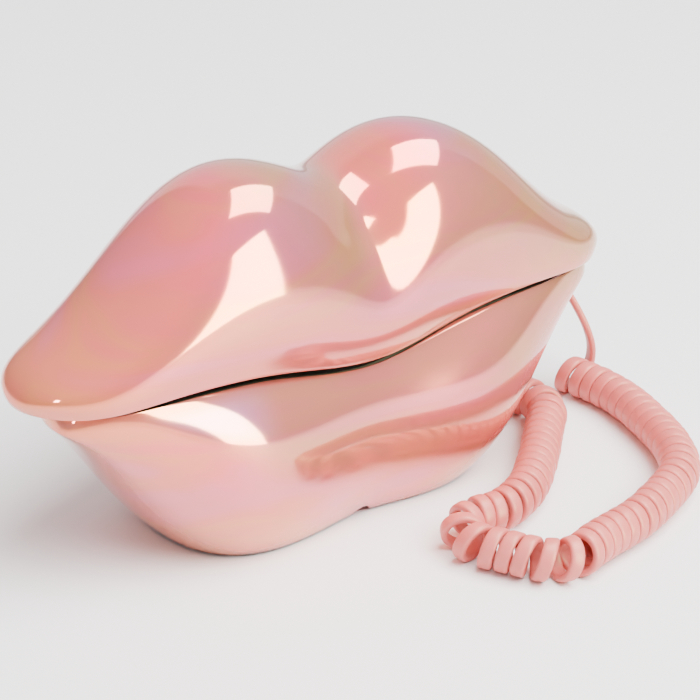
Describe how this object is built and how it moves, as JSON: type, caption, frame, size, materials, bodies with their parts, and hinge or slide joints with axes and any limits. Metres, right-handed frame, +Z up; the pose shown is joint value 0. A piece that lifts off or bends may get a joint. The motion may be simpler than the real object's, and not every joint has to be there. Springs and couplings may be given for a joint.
{
  "type": "novelty telephone",
  "caption": "Corded desk telephone in the shape of closed lips: the upper lip is a lift-off handset with a keypad inside, the lower lip is the base.",
  "frame": {"origin": "on the table, under the middle of the telephone without its cord", "axes": "+X along the lips to the viewer's right, -Y to the front, +Z up"},
  "size_m": [0.2293, 0.1594, 0.108],
  "materials": {
    "handset_casing": "gloss, pearl pink",
    "base_casing": "gloss, pearl pink",
    "black_plastic": "fine grained black",
    "key_plastic": "satin pink",
    "cord_jacket": "satin, salmon pink",
    "plug_plastic": "clear, slightly milky",
    "jack_plastic": "matt black",
    "rubber": "matt",
    "steel": "plated",
    "circuit_board": "tan laminate",
    "component_plastic": "matt black",
    "knob_plastic": "satin"
  },
  "bodies": {
    "base": {"base_shell": "base_casing", "base_tray": "black_plastic", "bottom_cover": "black_plastic", "rubber_feet": "rubber", "base_screws": "steel", "base_ballast": "steel", "base_board": "circuit_board", "ringer_sounder": "component_plastic", "hook_spring": "steel", "hook_switch": "component_plastic", "line_jack": "jack_plastic", "base_cord_jack": "jack_plastic", "base_plug": "plug_plastic", "ringer_switch": "component_plastic", "dialling_switch": "component_plastic", "handset_lead": "cord_jacket", "cord_coil": "cord_jacket", "base_lead": "cord_jacket"},
    "handset": {"handset_shell": "handset_casing", "handset_inner_cover": "black_plastic", "keypad_membrane": "rubber", "handset_board": "circuit_board", "receiver_gasket": "rubber", "receiver_capsule": "component_plastic", "microphone_boot": "rubber", "microphone_capsule": "steel", "handset_jack": "jack_plastic", "handset_plug": "plug_plastic", "handset_screws": "steel"},
    "hook": {"hook_plunger": "component_plastic"},
    "key_1": {"key_1": "key_plastic"},
    "key_2": {"key_2": "key_plastic"},
    "key_3": {"key_3": "key_plastic"},
    "key_4": {"key_4": "key_plastic"},
    "key_5": {"key_5": "key_plastic"},
    "key_6": {"key_6": "key_plastic"},
    "key_7": {"key_7": "key_plastic"},
    "key_8": {"key_8": "key_plastic"},
    "key_9": {"key_9": "key_plastic"},
    "key_star": {"key_star": "key_plastic"},
    "key_0": {"key_0": "key_plastic"},
    "key_hash": {"key_hash": "key_plastic"},
    "key_flash": {"key_flash": "key_plastic"},
    "key_redial": {"key_redial": "key_plastic"},
    "key_mute": {"key_mute": "key_plastic"},
    "ringer_switch_knob": {"ringer_switch_knob": "knob_plastic"},
    "dialling_switch_knob": {"dialling_switch_knob": "knob_plastic"}
  },
  "joints": [
    {"name": "handset_lift", "type": "slide", "parent": "base", "child": "handset", "axis": [0, 0, 1], "range_m": [0, 0.06]},
    {"name": "hook_travel", "type": "slide", "parent": "base", "child": "hook", "axis": [0, 0, 1], "range_m": [0, 0.005]},
    {"name": "key_1_press", "type": "slide", "parent": "handset", "child": "key_1", "axis": [0, 0, 1], "range_m": [0, 0.0012], "stiffness_N_per_m": 400, "springref_m": -0.001},
    {"name": "key_2_press", "type": "slide", "parent": "handset", "child": "key_2", "axis": [0, 0, 1], "range_m": [0, 0.0012], "stiffness_N_per_m": 400, "springref_m": -0.001},
    {"name": "key_3_press", "type": "slide", "parent": "handset", "child": "key_3", "axis": [0, 0, 1], "range_m": [0, 0.0012], "stiffness_N_per_m": 400, "springref_m": -0.001},
    {"name": "key_4_press", "type": "slide", "parent": "handset", "child": "key_4", "axis": [0, 0, 1], "range_m": [0, 0.0012], "stiffness_N_per_m": 400, "springref_m": -0.001},
    {"name": "key_5_press", "type": "slide", "parent": "handset", "child": "key_5", "axis": [0, 0, 1], "range_m": [0, 0.0012], "stiffness_N_per_m": 400, "springref_m": -0.001},
    {"name": "key_6_press", "type": "slide", "parent": "handset", "child": "key_6", "axis": [0, 0, 1], "range_m": [0, 0.0012], "stiffness_N_per_m": 400, "springref_m": -0.001},
    {"name": "key_7_press", "type": "slide", "parent": "handset", "child": "key_7", "axis": [0, 0, 1], "range_m": [0, 0.0012], "stiffness_N_per_m": 400, "springref_m": -0.001},
    {"name": "key_8_press", "type": "slide", "parent": "handset", "child": "key_8", "axis": [0, 0, 1], "range_m": [0, 0.0012], "stiffness_N_per_m": 400, "springref_m": -0.001},
    {"name": "key_9_press", "type": "slide", "parent": "handset", "child": "key_9", "axis": [0, 0, 1], "range_m": [0, 0.0012], "stiffness_N_per_m": 400, "springref_m": -0.001},
    {"name": "key_star_press", "type": "slide", "parent": "handset", "child": "key_star", "axis": [0, 0, 1], "range_m": [0, 0.0012], "stiffness_N_per_m": 400, "springref_m": -0.001},
    {"name": "key_0_press", "type": "slide", "parent": "handset", "child": "key_0", "axis": [0, 0, 1], "range_m": [0, 0.0012], "stiffness_N_per_m": 400, "springref_m": -0.001},
    {"name": "key_hash_press", "type": "slide", "parent": "handset", "child": "key_hash", "axis": [0, 0, 1], "range_m": [0, 0.0012], "stiffness_N_per_m": 400, "springref_m": -0.001},
    {"name": "key_flash_press", "type": "slide", "parent": "handset", "child": "key_flash", "axis": [0, 0, 1], "range_m": [0, 0.0012], "stiffness_N_per_m": 400, "springref_m": -0.001},
    {"name": "key_redial_press", "type": "slide", "parent": "handset", "child": "key_redial", "axis": [0, 0, 1], "range_m": [0, 0.0012], "stiffness_N_per_m": 400, "springref_m": -0.001},
    {"name": "key_mute_press", "type": "slide", "parent": "handset", "child": "key_mute", "axis": [0, 0, 1], "range_m": [0, 0.0012], "stiffness_N_per_m": 400, "springref_m": -0.001},
    {"name": "ringer_switch_slide", "type": "slide", "parent": "base", "child": "ringer_switch_knob", "axis": [1, 0, 0], "range_m": [0, 0.004]},
    {"name": "dialling_switch_slide", "type": "slide", "parent": "base", "child": "dialling_switch_knob", "axis": [1, 0, 0], "range_m": [0, 0.004]}
  ],
  "couplings": [
    {"joint": "hook_travel", "follows": "handset_lift", "ratio": 0.083333}
  ]
}
